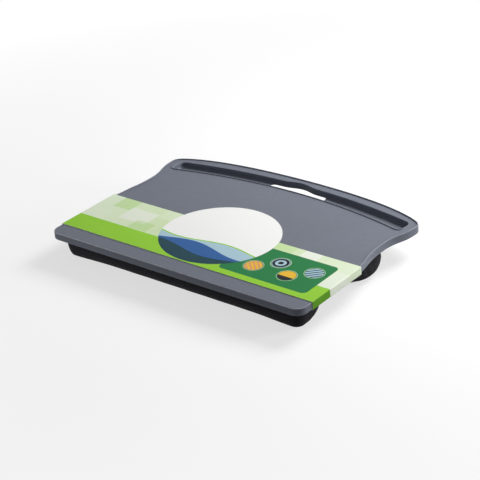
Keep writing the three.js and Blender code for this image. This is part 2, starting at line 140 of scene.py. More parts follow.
class LapDeskTraySizes(bpy.types.PropertyGroup):
    """Sizes of the tray that its box doesn't give."""

    front_corner: length("Front corner", "Radius of the front corners", 18)
    straight_end: length("Straight side", "From the front edge to where the sides draw in", 130)
    wing_flare: length("Wing flare", "Of each rear corner beyond the straight side", 2)
    waist_draw_in: length("Waist", "How far each side draws in", 11.5)
    waist_from_rear: length("Waist place", "In front of the rear edge", 130)
    wing_from_rear: length("Wing place", "In front of the rear edge", 52)
    shoulder_from_rear: length("Shoulder place", "In front of the rear edge", 34)
    shoulder_inset: length("Shoulder inset", "In from the widest line of the wing", 14)
    shoulder_fall: length("Shoulder fall", "Over the shoulder's inset", 7)
    arch_end_handle: length("Arch end", "Pull of the rear arch's slope at the wings", 48)
    arch_middle_handle: length("Arch middle", "Flat stretch each side of the middle", 100)
    top_edge: length("Top edge", "Radius of the rim's upper edge", 1.8)
    rim_foot: length("Rim foot", "Rounding of the rim's lower edge", 0.6)
    lip_height: length("Lip height", "Of the raised lip round the rear half", 1.8)
    lip_slope: length("Lip slope", "Width of the lip's slope down to the top", 0.5)
    lip_from_rear: length("Lip start", "In front of the rear edge", 200)
    lip_run: length("Lip run", "Over which the lip rises from nothing", 30)
    trough_lip: length("Trough lip", "Height of the lip along the trough's front edge", 1.5)
    plate: length("Plate", "Thickness of the top", 3)
    wall: length("Wall", "Thickness of the rim and of the trough's walls", 2.5)
    rib: length("Rib", "Thickness of the stiffening ribs", 1.6)
    rib_spacing: length("Rib spacing", "Between the stiffening ribs", 75)
    boss: length("Boss", "Diameter of a screw boss", 8.5)
    boss_bore: length("Boss bore", "Diameter of the hole in a boss", 3.6)
    trough_rear_bar: length("Rear bar", "Between the trough and the rear edge at the middle", 17.5)
    trough_width: length("Trough width", "Front to rear at the middle", 28.5)
    trough_end_bar: length("End bar", "From the trough's end to the wing's widest line", 17)
    trough_rear_bow: length("Rear bow", "Of the trough's rear edge over its half length", 27.6)
    trough_front_bow: length("Front bow", "Of the trough's front edge over its half length", 31.4)
    trough_depth: length("Trough depth", "Below the top", 10)
    trough_corner: length("Trough corner", "Length of side that a corner takes up", 10)
    trough_floor: length("Trough foot", "Radius at the foot of the trough's walls", 4)
    trough_crest: length("Trough crest", "Radius of the trough's upper edge", 1.1)
    slot_length: length("Slot length", "Of the hand slot", 114)
    slot_margin: length("Slot margin", "Floor left in front of the hand slot", 6)
    slot_corner: length("Slot corner", "Length of side that a corner takes up", 9)
    grip_length: length("Grip length", "Of the finger hollow above the slot", 68)
    grip_depth: length("Grip depth", "Of the finger hollow above the slot", 6)


class LapDeskBolsterSizes(bpy.types.PropertyGroup):
    """Sizes of the bolsters that their boxes don't give."""

    front_corner: length("Front corner", "Radius of the front bolster's front corners", 20)
    rear_corner: length("Rear corner", "Radius of the front bolster's rear corners", 28)
    rear_end_flat: length("Rear end", "Straight stretch in the rear bolster's round ends", 6)
    front_bulge: length("Front bulge", "Height of the front bolster's fullest line", 26)
    rear_bulge: length("Rear bulge", "Height of the rear bolster's fullest line", 18)
    front_foot: length("Front foot", "In from the front bolster's fullest line to where it stands flat", 11)
    front_back_foot: length("Front's back foot", "The same on the front bolster's rear side", 48)
    rear_foot: length("Rear foot", "The same all round the rear bolster", 18)
    hem_inset: length("Hem", "Of the hem from the fullest line", 9)
    front_draw_in: length("Front draw-in", "Of the front bolster's long sides between their corners", 0.8)
    rear_draw_in: length("Rear draw-in", "Of the rear bolster's long sides between their corners", 2.5)
    end_draw_in: length("End draw-in", "Of a short end between its corners", 0.5)
    least_corner: length("Least corner", "Of the innermost rings", 3)
    swell: length("Swell", "Room that the cover is given to fill out", 1.6)
    cap: length("Swell limit", "Furthest that the filling moves a point", 2.5)
    voxel: length("Voxel", "Grain of the remeshed cover", 4.5)
    pucker: length("Pucker", "Depth of the gathers under the hem", 0.9)
    pucker_pitch: length("Pucker pitch", "Between the gathers under the hem", 17)
    stitch_drop: length("Stitch line", "Below the hem", 5)
    stitch_pitch: length("Stitch pitch", "Between stitches", 5)
    stitch: length("Stitch", "Length of a stitch", 3.4)
    thread: length("Thread", "Thickness of the thread", 0.7)


class LapDeskSleeveSizes(bpy.types.PropertyGroup):
    """Sizes of the card sleeve and of its print."""

    card: length("Card", "Thickness of the card", 0.6)
    fold: length("Fold", "Outer radius of the folds", 1.1)
    tuck: length("Tuck", "Of each flap under the rim", 11.6)
    depth: length("Depth", "Front to rear, without the tab", 127)
    oval_width: length("Oval width", "Of the die-cut oval", 200)
    oval_depth: length("Oval depth", "Of the die-cut oval", 195)
    tab_lift: length("Tab lift", "Of the tab's rear end off the tray", 0.9)
    band: length("Front band", "Depth of the lime band", 45)
    panel_inset: length("Panel inset", "Of the dark panel from the sleeve's right end", 24)
    panel_front: length("Panel front", "Lime left in front of the dark panel", 13)
    panel_rear: length("Panel rear", "Pale print left behind the dark panel", 21)


class LapDeskColours(bpy.types.PropertyGroup):
    """Colours of the finishes."""

    slate: paint("Slate", "Tray plastic", 110, 115, 127)
    # Light enough to paint a highlight line along the tray's top edges as well as scuffs
    scuff_and_highlight_tone: paint("Scuff", "Scuffed edges of the tray", 208, 213, 221)
    black_plastic: paint("Black plastic", "Base panel", 30, 30, 33)
    cloth: paint("Cloth", "Cover cloth", 27, 26, 29)
    nap: paint("Nap", "Fibre ends on the cover cloth", 56, 54, 59)
    thread: paint("Thread", "Sewing thread", 40, 39, 43)
    zinc: paint("Zinc", "Screws", 196, 198, 202)
    bare_card: paint("Bare card", "Inside and cut edges of the sleeve", 236, 235, 228)
    lime: paint("Lime", "Front band of the print", 152, 211, 62)
    leaf: paint("Leaf green", "Front band on the side walls", 96, 157, 30)
    pale: paint("Pale green", "Print behind the front band", 206, 228, 170)
    mist: paint("Mist", "Lightest tint of the print", 234, 246, 220)
    white: paint("White", "Oval", 252, 252, 250)
    deep_green: paint("Deep green", "Panel of the print", 36, 122, 68)
    teal: paint("Teal", "Darkest wave of the print", 24, 62, 74)
    blue: paint("Blue", "Middle wave of the print", 52, 98, 158)
    sky: paint("Sky", "Lightest wave of the print", 176, 206, 220)
    tan: paint("Tan", "Disc of the print", 226, 160, 112)
    amber: paint("Amber", "Disc of the print", 240, 190, 62)
    ink: paint("Ink", "Dark parts of the print", 26, 28, 32)
    floor: paint("Floor", "Studio floor", 160, 160, 160)


class LapDeskStage(bpy.types.PropertyGroup):
    """Camera and lamps. Each lamp faces the middle of the desk."""

    azimuth: angle("Azimuth", "Of the camera round the desk", 39.48)
    elevation: angle("Elevation", "Of the camera", 27.04)
    roll: angle("Roll", "Of the camera", -3.96)
    distance: length("Distance", "From the camera to the point it aims at", 2505)
    aim: point("Aim", "Point in the middle of the picture", (0.037, -0.0484, 0.049))
    lens: FloatProperty(name="Lens", description="Focal length", default=119.15, unit="CAMERA")
    key_place: point("Key place", "Of the high lamp behind the desk", (0.35, 0.95, 1.05))
    key_size: length("Key size", "Width of the high lamp behind the desk", 700)
    key_power: power("Key power", "Of the high lamp behind the desk", 20.5)
    side_place: point("Side place", "Of the lamp at the rear right", (1.1, 0.75, 0.4))
    side_size: length("Side size", "Width of the lamp at the rear right", 500)
    side_power: power("Side power", "Of the lamp at the rear right", 8.8)
    fill_place: point("Fill place", "Of the low lamp at the front left", (-0.62, -0.78, 0.12))
    fill_size: length("Fill size", "Width of the low lamp at the front left", 300)
    fill_power: power("Fill power", "Of the low lamp at the front left", 1.7)


class LapDeskSettings(bpy.types.PropertyGroup):
    """All the settings of the lap desk."""

    tray: PointerProperty(type=LapDeskTraySizes)
    bolster: PointerProperty(type=LapDeskBolsterSizes)
    sleeve: PointerProperty(type=LapDeskSleeveSizes)
    colours: PointerProperty(type=LapDeskColours)
    stage: PointerProperty(type=LapDeskStage)


# Node trees, for finishes and for what repeats

def maths(operation, swapped=False):
    """A method of Wire that adds one Math node; a reflected operator has its values swapped."""
    def method(self, *others):
        values = (*others, self) if swapped else (self, *others)
        return self.sheet.node("ShaderNodeMath", {"operation": operation}, dict(enumerate(values)))
    return method


class Wire:
    """An output socket whose arithmetic adds Math nodes to its tree."""

    __add__ = maths("ADD")
    __radd__ = maths("ADD", swapped=True)
    __sub__ = maths("SUBTRACT")
    __rsub__ = maths("SUBTRACT", swapped=True)
    __mul__ = maths("MULTIPLY")
    __rmul__ = maths("MULTIPLY", swapped=True)
    __truediv__ = maths("DIVIDE")
    __rtruediv__ = maths("DIVIDE", swapped=True)
    __abs__ = maths("ABSOLUTE")
    sine = maths("SINE")
    root = maths("SQRT")
    least = maths("MINIMUM")
    most = maths("MAXIMUM")

    def __init__(self, sheet, socket):
        self.sheet = sheet
        self.socket = socket

    def share(self):
        """The value held between 0 and 1."""
        return self.most(0.0).least(1.0)

    def swing(self, reach, middle=0.5):
        """How far the value is from its middle, times a reach."""
        return (self - middle) * reach

    def below(self, limit, blur):
        """1 where the value is under a limit and 0 over it, with a soft edge of that width."""
        return ((limit - self) / blur + 0.5).share()


def beyond(axis, start, end):
    """How far a wire is outside a stretch, less than nothing inside it."""
    return abs(axis - (start + end) / 2) - (end - start) / 2


def apart(across, back):
    """Distance from two wires that are square to each other."""
    return (across * across + back * back).root()


class NodeSheet:
    """A node tree and the one way to add nodes to it."""

    def __init__(self, tree):
        self.tree = tree

    def node(self, kind, settings=None, inputs=None, output=0):
        """Adds a node, sets it up, fills its sockets with values or wires and returns one of its outputs."""
        made = self.tree.nodes.new(kind)
        for name, value in (settings or {}).items():
            setattr(made, name, value)
        for key, value in (inputs or {}).items():
            if isinstance(value, Wire):
                self.tree.links.new(value.socket, made.inputs[key])
            else:
                made.inputs[key].default_value = value
        return Wire(self, made.outputs[output]) if made.outputs else made


class Finish(NodeSheet):
    """A material with one surface shader."""

    def __init__(self, name):
        self.material = bpy.data.materials.new(name)
        self.material.use_nodes = True
        super().__init__(self.material.node_tree)
        self.tree.nodes.clear()

    def spot(self):
        """Object coordinates in metres."""
        return self.node("ShaderNodeTexCoord", output="Object")

    def place(self):
        """The three Object coordinates, one by one."""
        parts = self.node("ShaderNodeSeparateXYZ", inputs={0: self.spot()}).socket.node
        return [Wire(self, socket) for socket in parts.outputs]

    def noise(self, grain, detail=2.0, roughness=0.5):
        """Noise on Object coordinates with features of about that many metres."""
        return self.node("ShaderNodeTexNoise", inputs={
            "Vector": self.spot(), "Scale": 1 / grain, "Detail": detail, "Roughness": roughness})

    def attribute(self, name):
        return self.node("ShaderNodeAttribute", {"attribute_name": name}, output="Fac")

    def mix(self, share, first, second):
        """Colour between two colours, each a wire or three values, from the Mix node's colour sockets."""
        colours = [c if isinstance(c, Wire) else (*c, 1.0) for c in (first, second)]
        return self.node("ShaderNodeMix", {"data_type": "RGBA"}, {0: share, 6: colours[0], 7: colours[1]}, 2)

    def bump(self, height, distance, strength):
        return self.node("ShaderNodeBump", inputs={
            "Height": height, "Distance": distance, "Strength": strength})

    def surface(self, **sockets):
        """Ends the tree in a Principled shader with these sockets, named with underscores."""
        inputs = {name.replace("_", " "): value for name, value in sockets.items()}
        shader = self.node("ShaderNodeBsdfPrincipled", inputs=inputs)
        self.node("ShaderNodeOutputMaterial", inputs={"Surface": shader})
        return self.material


class Pattern(NodeSheet):
    """A Geometry Nodes tree with named inputs, which turns points into a plain mesh."""

    def __init__(self, name, **inputs):
        tree = bpy.data.node_groups.new(name, "GeometryNodeTree")
        super().__init__(tree)
        tree.interface.new_socket("Points", in_out="INPUT", socket_type="NodeSocketGeometry")
        for label, kind in inputs.items():
            tree.interface.new_socket(label, in_out="INPUT", socket_type="NodeSocket" + kind)
        tree.interface.new_socket("Mesh", in_out="OUTPUT", socket_type="NodeSocketGeometry")
        self.group = self.node("NodeGroupInput").socket.node

    def input(self, label):
        return Wire(self, self.group.outputs[label])

    def vectors(self, name):
        return self.node("GeometryNodeInputNamedAttribute", {"data_type": "FLOAT_VECTOR"}, {"Name": name})

    def finish(self, shape, **sockets):
        """Ends the tree: real copies of a shape at the points, with the material of the Finish input."""
        copies = self.node("GeometryNodeInstanceOnPoints", inputs={
            "Points": self.input("Points"), "Instance": shape, **sockets})
        real = self.node("GeometryNodeRealizeInstances", inputs={"Geometry": copies})
        dressed = self.node("GeometryNodeSetMaterial", inputs={
            "Geometry": real, "Material": self.input("Finish")})
        self.node("NodeGroupOutput", inputs={"Mesh": dressed})
        return self

    def grow(self, name, points, vectors=None, **values):
        """Makes a mesh object from points, with a vector attribute for each list in vectors."""
        mesh = bpy.data.meshes.new(name)
        mesh.from_pydata([tuple(place) for place in points], [], [])
        for label, rows in (vectors or {}).items():
            layer = mesh.attributes.new(label, "FLOAT_VECTOR", "POINT")
            layer.data.foreach_set("vector", np.array(rows, np.float32).ravel())
        piece = link(bpy.data.objects.new(name, mesh))
        modifier = piece.modifiers.new(name, "NODES")
        modifier.node_group = self.tree
        for item in self.tree.interface.items_tree:
            if item.in_out == "INPUT" and item.name in values:
                modifier[item.identifier] = values[item.name]
        return flatten(piece)


# Meshes

def link(piece):
    bpy.context.scene.collection.objects.link(piece)
    return piece


def flatten(piece):
    """Turns what an object's modifiers make into its own plain mesh."""
    graph = bpy.context.evaluated_depsgraph_get()
    made = bpy.data.meshes.new_from_object(piece.evaluated_get(graph))
    if not made.polygons:
        raise RuntimeError(piece.name + " has no faces")
    made.name = piece.name
    piece.modifiers.clear()
    piece.data = made
    return piece


def smooth(piece, degrees=35):
    """Shades a piece smooth, with sharp edges over an angle and level faces kept flat."""
    level = 0.9999
    piece.data.set_sharp_from_angle(angle=math.radians(degrees))
    for face in piece.data.polygons:
        face.use_smooth = abs(face.normal.z) < level
    return piece


def dress(piece, *materials):
    """Gives a piece its materials in place of those that it has."""
    piece.data.materials.clear()
    for material in materials:
        piece.data.materials.append(material)
    return piece


class Shell:
    """A mesh that grows from rings of points."""

    def __init__(self):
        self.mesh = bmesh.new()
        # Share of edge wear and of a painted highlight line at each point
        self.worn = self.mesh.verts.layers.float.new("worn")

    def ring(self, outline, height, worn=0.0):
        """A closed ring at one height or at a height for each point, and likewise with its edge wear and
        painted highlight.
        """
        heights = np.broadcast_to(height, len(outline))
        verts = [self.mesh.verts.new((x, y, z)) for (x, y), z in zip(outline, heights)]
        for vert, share in zip(verts, np.broadcast_to(worn, len(outline))):
            vert[self.worn] = share
        return verts

    def join(self, rings):
        """Faces between each ring and the next."""
        for below, above in zip(rings, rings[1:]):
            for i, vert in enumerate(below):
                self.mesh.faces.new((below[i - 1], vert, above[i], above[i - 1]))

    def fill(self, *rings):
        """Faces inside the first ring and outside any others."""
        edges = []
        for ring in rings:
            for i, vert in enumerate(ring):
                pair = (ring[i - 1], vert)
                edges.append(self.mesh.edges.get(pair) or self.mesh.edges.new(pair))
        bmesh.ops.triangle_fill(self.mesh, edges=edges, use_beauty=True)

    def piece(self, name):
        bmesh.ops.recalc_face_normals(self.mesh, faces=self.mesh.faces)
        data = bpy.data.meshes.new(name)
        self.mesh.to_mesh(data)
        self.mesh.free()
        return link(bpy.data.objects.new(name, data))


def solid(name, rows):
    """A closed piece from rows of an outline and its height, filled at both ends."""
    shell = Shell()
    rings = [shell.ring(outline, height) for outline, height in rows]
    shell.join(rings)
    shell.fill(rings[0])
    shell.fill(rings[-1])
    return shell.piece(name)


def merged(piece):
    """Merges a piece's doubles and drops the faces that have no area."""
    mesh = bmesh.new()
    mesh.from_mesh(piece.data)
    bmesh.ops.remove_doubles(mesh, verts=mesh.verts, dist=DOUBLES)
    bmesh.ops.dissolve_degenerate(mesh, edges=mesh.edges, dist=DOUBLES)
    mesh.to_mesh(piece.data)
    mesh.free()
    return piece


def cut(piece, cutter):
    """Cuts one object out of another and removes the cutter."""
    modifier = piece.modifiers.new("cut", "BOOLEAN")
    modifier.operation = "DIFFERENCE"
    modifier.solver = "EXACT"
    modifier.object = cutter
    flatten(piece)
    bpy.data.objects.remove(cutter)
    return merged(piece)


# Lines

def circle(diameter):
    turns = [TURN * i / ROUND_STEPS for i in range(ROUND_STEPS)]
    return [(diameter / 2 * math.cos(t), diameter / 2 * math.sin(t)) for t in turns]


def turn_up(x, y, radius, steps):
    """Quarter circle from a level line at y to an upright line at x."""
    turns = np.linspace(0, QUARTER, steps + 1)
    return [(x - radius + radius * math.sin(t), y + radius * (1 - math.cos(t))) for t in turns]


def turn_in(x, y, radius, steps):
    """Quarter circle from an upright line at x to a level line at y."""
    turns = np.linspace(0, QUARTER, steps + 1)
    return [(x - radius + radius * math.cos(t), y - radius + radius * math.sin(t)) for t in turns]


def along_curve(corners, steps):
    """Points of a Bezier curve of any degree, without its start."""
    rows = []
    for i in range(1, steps + 1):
        points = [np.array(corner, float) for corner in corners]
        while len(points) > 1:
            points = [a + (b - a) * i / steps for a, b in zip(points, points[1:])]
        rows.append(points[0])
    return rows


def inset(outline, distance):
    """A counter-clockwise outline moved inwards, square to its edges."""
    points = np.array(outline)
    before = points - np.roll(points, 1, 0)
    before /= np.linalg.norm(before, axis=1)[:, None]
    after = np.roll(before, -1, 0)
    inward = np.stack([-before[:, 1] - after[:, 1], before[:, 0] + after[:, 0]], 1)
    return points + inward * (2 * distance / (inward ** 2).sum(1))[:, None]


def quarter(radius, steps):
    """Inset and rise of each step of a quarter-round edge, from its upright side to its flat face."""
    turns = [i / steps * QUARTER for i in range(steps + 1)]
    return [(radius * (1 - math.cos(t)), radius * math.sin(t)) for t in turns]


def eased(share):
    """A share held between 0 and 1 that starts and ends level."""
    return (1 - np.cos(math.pi * np.clip(share, 0, 1))) / 2


def mirrored(half):
    """A closed outline from its right half, which runs from the front to the rear."""
    left = [(-x, y) for x, y in reversed(half) if abs(x) > DOUBLES]
    return np.array([*half, *left])


# Tray

def tray_outline(sizes):
    """The tray's outline from above."""
    side = WING_X - sizes.wing_flare
    waist = side - sizes.waist_draw_in
    straight_end = FRONT_EDGE + sizes.straight_end
    waist_y = REAR_EDGE - sizes.waist_from_rear
    wing_y = REAR_EDGE - sizes.wing_from_rear
    shoulder = (WING_X - sizes.shoulder_inset, REAR_EDGE - sizes.shoulder_from_rear)
    slope = sizes.shoulder_fall / sizes.shoulder_inset
    half = turn_up(side, FRONT_EDGE, sizes.front_corner, steps=12)

    def bend(x, y, to_x, to_y):
        middle = (y + to_y) / 2
        half.extend(along_curve([(x, y), (x, middle), (to_x, middle), (to_x, to_y)], steps=16))

    half.append((side, straight_end))
    bend(side, straight_end, waist, waist_y)
    bend(waist, waist_y, WING_X, wing_y)
    turn = (WING_X, shoulder[1] - sizes.shoulder_fall)
    half.extend(along_curve([(WING_X, wing_y), turn, shoulder], steps=10))
    arch_end = (shoulder[0] - sizes.arch_end_handle, shoulder[1] + sizes.arch_end_handle * slope)
    arch_middle = (sizes.arch_middle_handle, REAR_EDGE)
    half.extend(along_curve([shoulder, arch_end, arch_middle, (0, REAR_EDGE)], steps=24))
    return mirrored(half)


class Trough:
    """Lines of the pen trough and of the hand slot in its floor."""

    def __init__(self, sizes):
        self.sizes = sizes
        self.half = WING_X - sizes.trough_end_bar
        self.rear_middle = REAR_EDGE - sizes.trough_rear_bar
        self.front_middle = self.rear_middle - sizes.trough_width
        self.floor = TRAY_TOP - sizes.trough_depth

    def front(self, x):
        return self.front_middle - self.sizes.trough_front_bow * (x / self.half) ** 2

    def rear(self, x):
        from_middle = min(abs(x) / (self.sizes.grip_length / 2), 1)
        grip = self.sizes.grip_depth * (1 + math.cos(math.pi * from_middle)) / 2
        return self.rear_middle - self.sizes.trough_rear_bow * (x / self.half) ** 2 + grip

    def slot_front(self, x):
        return self.front(x) + self.sizes.slot_margin

    def outline(self):
        corner = self.sizes.trough_corner
        return band(self.front, self.rear, self.half, corner, front_steps=40, rear_steps=88)

    def slot(self):
        half = self.sizes.slot_length / 2
        corner = self.sizes.slot_corner
        return band(self.slot_front, self.rear, half, corner, front_steps=24, rear_steps=36)


def band(front, rear, half, corner, front_steps, rear_steps, corner_steps=8):
    """Outline between a front and a rear line, with square ends and rounded corners."""
    reach = half - corner
    front_run = [(x, front(x)) for x in np.linspace(-reach, reach, front_steps + 1)]
    rear_run = [(x, rear(x)) for x in np.linspace(reach, -reach, rear_steps + 1)]
    front_turn = (half, front(half) + corner)
    rear_turn = (half, rear(half) - corner)
    right_end = [
        *along_curve([front_run[-1], (half, front(half)), front_turn], corner_steps),
        rear_turn,
        *along_curve([rear_turn, (half, rear(half)), rear_run[0]], corner_steps)[:-1],
    ]
    left_end = [(-x, y) for x, y in reversed(right_end)]
    return np.array([*front_run, *right_end, *rear_run, *left_end])


def make_tray(sizes):
    """The tray as one closed shell: rim, top, trough, and the hollow underneath."""
    edge_support = 0.5 * MM
    slope_steps = 7
    foot_wear = 0.06
    crest_wear = 0.1
    least_rub_and_highlight = 0.12
    outline = tray_outline(sizes)
    trough = Trough(sizes)
    pit = trough.outline()
    from_start = outline[:, 1] - (REAR_EDGE - sizes.lip_from_rear)
    raised = sizes.lip_height * eased(from_start / sizes.lip_run)
    ahead = np.array([(trough.rear(x) - y) / (trough.rear(x) - trough.front(x)) for x, y in pit])
    pit_raised = sizes.trough_lip * eased(ahead)
    slope = [(sizes.lip_slope * t, 1 - eased(t)) for t in np.linspace(0, 1, slope_steps + 1)]
    underside = TRAY_TOP - sizes.plate
    foot_edge = sizes.rim_foot
    shell = Shell()
    rim = [
        shell.ring(inset(outline, sizes.wall), underside),
        shell.ring(inset(outline, sizes.wall), RIM_BOTTOM + foot_edge),
        shell.ring(inset(outline, sizes.wall - foot_edge), RIM_BOTTOM),
        shell.ring(inset(outline, foot_edge), RIM_BOTTOM, foot_wear),
        shell.ring(outline, RIM_BOTTOM + foot_edge, foot_wear),
    ]
    # Forearms wear the front edge most, and the front edge carries the strongest painted highlight line
    at_front = 1 - eased((outline[:, 1] - FRONT_EDGE) / sizes.front_corner)
    front_rub_and_highlight = least_rub_and_highlight + (1 - least_rub_and_highlight) * at_front
    # The top edge's rounding is lightened by wear and by a painted highlight line
    for inward, rise in quarter(sizes.top_edge, steps=6):
        worn = math.sin(math.pi * inward / sizes.top_edge) * front_rub_and_highlight
        rim.append(shell.ring(inset(outline, inward), TRAY_TOP + raised - sizes.top_edge + rise, worn))
    for inward, share in slope:
        inward += sizes.top_edge + edge_support
        rim.append(shell.ring(inset(outline, inward), TRAY_TOP + raised * share))
    shell.join(rim)

    walls = []
    for outward, share in reversed(slope):
        outward += sizes.trough_crest + edge_support
        walls.append(shell.ring(inset(pit, -outward), TRAY_TOP + pit_raised * share))
    for outward, rise in reversed(quarter(sizes.trough_crest, steps=4)):
        worn = crest_wear * math.sin(math.pi * outward / sizes.trough_crest)
        height = TRAY_TOP + pit_raised - sizes.trough_crest + rise
        walls.append(shell.ring(inset(pit, -outward), height, worn))
    for inward, rise in quarter(sizes.trough_floor, steps=7):
        walls.append(shell.ring(inset(pit, inward), trough.floor + sizes.trough_floor - rise))
    walls.append(shell.ring(inset(pit, sizes.trough_floor + edge_support), trough.floor))
    shell.join(walls)
    shell.fill(rim[-1], walls[0])
    shell.fill(walls[-1])

    block = [
        shell.ring(inset(pit, -sizes.wall), underside),
        shell.ring(inset(pit, -sizes.wall), RIM_BOTTOM + foot_edge),
        shell.ring(inset(pit, foot_edge - sizes.wall), RIM_BOTTOM),
    ]
    shell.join(block)
    shell.fill(rim[0], block[0])
    shell.fill(block[-1])
    tray = shell.piece("tray_shell")

    # The slot is let a hair past the trough's wall, so that the cut leaves no sliver
    relief = 0.05 * MM
    past = 2 * MM
    opening = inset(trough.slot(), -relief)
    cut(tray, solid("slot_cutter", [
        (inset(opening, -foot_edge), RIM_BOTTOM - past),
        (inset(opening, -foot_edge), RIM_BOTTOM),
        (opening, RIM_BOTTOM + foot_edge),
        (opening, trough.floor + sizes.trough_floor),
    ]))
    return smooth(tray)


def rib_boxes(sizes):
    """Middle and size of each stiffening rib under the tray, let a little into the walls that it meets."""
    inside = inset(tray_outline(sizes), sizes.wall)
    trough = Trough(sizes)
    let_in = sizes.wall / 4
    top = TRAY_TOP - sizes.plate + let_in
    right = inside[inside[:, 0] >= 0]
    front_half = right[right[:, 1] < FRONT_EDGE + sizes.straight_end]
    rear_half = right[right[:, 1] > REAR_EDGE - sizes.wing_from_rear]
    places = []
    spans = []

    def add(x, y, width, depth):
        places.append((x, y, (RIB_BOTTOM + top) / 2))
        spans.append((width, depth, top - RIB_BOTTOM))

    steps = int(trough.half / sizes.rib_spacing)
    for i in range(-steps, steps + 1):
        x = i * sizes.rib_spacing
        front = np.interp(abs(x), front_half[:, 0], front_half[:, 1])
        rear = np.interp(-abs(x), -rear_half[:, 0], rear_half[:, 1])
        before_trough = (front, trough.front(x) - sizes.wall)
        behind_trough = (trough.rear(x) + sizes.wall, rear)
        for start, end in (before_trough, behind_trough):
            add(x, (start + end) / 2, sizes.rib, end - start + 2 * let_in)
    y = FRONT_EDGE + sizes.rib_spacing
    while y < trough.front(trough.half):
        add(0, y, 2 * np.interp(y, right[:, 1], right[:, 0]) + 2 * let_in, sizes.rib)
        y += sizes.rib_spacing
    return places, spans


def make_boss(sizes):
    """One hollow screw boss, from the ribs' lower edge up into the tray's plate."""
    below_plate_middle = 0.6 * MM
    roof = 1 * MM
    bottom = RIB_BOTTOM - PANEL_LOW.z
    top = TRAY_TOP - sizes.plate / 2 - PANEL_LOW.z - below_plate_middle
    bore = circle(sizes.boss_bore)
    wall = circle(sizes.boss)
    rows = [(bore, top - roof), (bore, bottom), (wall, bottom), (wall, top)]
    return smooth(solid("boss_blank", rows), degrees=40)


# Base panel and screws

def make_panel():
    """A merged copy of the base panel's node, with eased edges."""
    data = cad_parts["base_panel"].data.copy()
    panel = link(bpy.data.objects.new("panel_sheet", data))
    mesh = bmesh.new()
    mesh.from_mesh(data)
    bmesh.ops.remove_doubles(mesh, verts=mesh.verts, dist=DOUBLES)
    bmesh.ops.dissolve_limit(mesh, angle_limit=math.radians(1), verts=mesh.verts, edges=mesh.edges)
    mesh.to_mesh(data)
    mesh.free()
    bevel = panel.modifiers.new("bevel", "BEVEL")
    bevel.width = 0.4 * MM
    bevel.segments = 2
    bevel.limit_method = "ANGLE"
    bevel.angle_limit = math.radians(50)
    return smooth(flatten(panel))


def screw_places():
    """Middle of each screw at its bearing face."""
    boxes = [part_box(name) for name in SCREW_NODES]
    return [Vector(((low.x + high.x) / 2, (low.y + high.y) / 2, PANEL_LOW.z)) for low, high in boxes]


def make_screw():
    """One round-headed screw, head down, with a cross recess and a coarse thread."""
    low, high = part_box(SCREW_NODES[0])
    head = (high.x - low.x) / 2
    bearing = PANEL_LOW.z - low.z
    tip = high.z - PANEL_LOW.z
    shank = 1.5 * MM
    core = shank * 0.8
    pitch = 1.1 * MM
    taper = 1.2 * MM
    point_radius = 0.1 * MM
    first_thread = 0.3 * MM
    crown_turn = 0.08
    head_steps = 6
    turns = np.linspace(crown_turn, QUARTER, head_steps + 1)
    profile = [(head * math.sin(t), -bearing * math.cos(t)) for t in turns]
    height = first_thread
    while height + pitch < tip - taper:
        profile += [(core, height), (shank, height + pitch / 2)]
        height += pitch
    profile += [(core, height), (point_radius, tip)]
    screw = solid("screw_blank", [(circle(2 * radius), z) for radius, z in profile])

    # Each bar of the recess narrows from its mouth to its foot
    slot_x = 1.9 * MM
    slot_y = 0.42 * MM
    narrowing = (0.55, 0.8)
    mouth = -bearing - 1 * MM
    foot = -0.7 * MM
    corners = np.array([(-slot_x, -slot_y), (slot_x, -slot_y), (slot_x, slot_y), (-slot_x, slot_y)])
    for turn in (0.0, QUARTER):
        spin = np.array([(math.cos(turn), math.sin(turn)), (-math.sin(turn), math.cos(turn))])
        rows = [(corners @ spin, mouth), (corners * narrowing @ spin, foot)]
        cut(screw, solid("recess_cutter", rows))
    return smooth(screw, degrees=40)


# Finishes

def toned(colour, factor):
    """A colour made darker or lighter."""
    return [min(value * factor, 1) for value in colour]


def slate_plastic(colours):
    """Moulded slate plastic: a fine spark-eroded grain, faint mottling, and edges scuffed lighter, with a
    painted highlight line along the top edges.
    """
    finish = Finish("slate_plastic")
    grain = finish.noise(1.1 * MM, detail=3.0, roughness=0.6)
    mottle = finish.noise(90 * MM)
    specks = finish.noise(3 * MM, detail=4.0, roughness=0.65)
    clouds = finish.noise(9 * MM, detail=3.0, roughness=0.6)
    worn = finish.attribute("worn")
    speckled_scuff_and_glint = (worn * specks.swing(5)).share()
    tone = (mottle.swing(0.4) + clouds.swing(0.5) + grain.swing(0.5) + 0.5).share()
    body = finish.mix(tone, toned(colours.slate, 0.86), toned(colours.slate, 1.14))
    # Speckled scuffs and the edge mark lighten the edges: partly wear, partly a painted highlight line
    colour = finish.mix((speckled_scuff_and_glint * 0.5 + worn * 0.6).share(), body, colours.scuff_and_highlight_tone)
    roughness = (0.47 + grain.swing(0.18) + mottle.swing(0.08) - worn * 0.08).share()
    return finish.surface(Base_Color=colour, Roughness=roughness, Specular_IOR_Level=0.15,
                          Normal=finish.bump(grain, 0.12 * MM, 0.5))


def black_plastic(colours):
    """Black moulded panel with a coarse leathery grain."""
    finish = Finish("black_plastic")
    grain = finish.node("ShaderNodeTexVoronoi", {"feature": "SMOOTH_F1"}, {
        "Vector": finish.spot(), "Scale": 1 / (1.8 * MM), "Smoothness": 0.6})
    haze = finish.noise(60 * MM, detail=3.0)
    grey = toned(colours.black_plastic, 1.9)
    colour = finish.mix((haze * 0.5 + grain * 0.25).share(), colours.black_plastic, grey)
    roughness = (0.5 + haze.swing(0.25) + grain * 0.1).share()
    return finish.surface(Base_Color=colour, Roughness=roughness, Normal=finish.bump(grain, 0.15 * MM, 0.6))


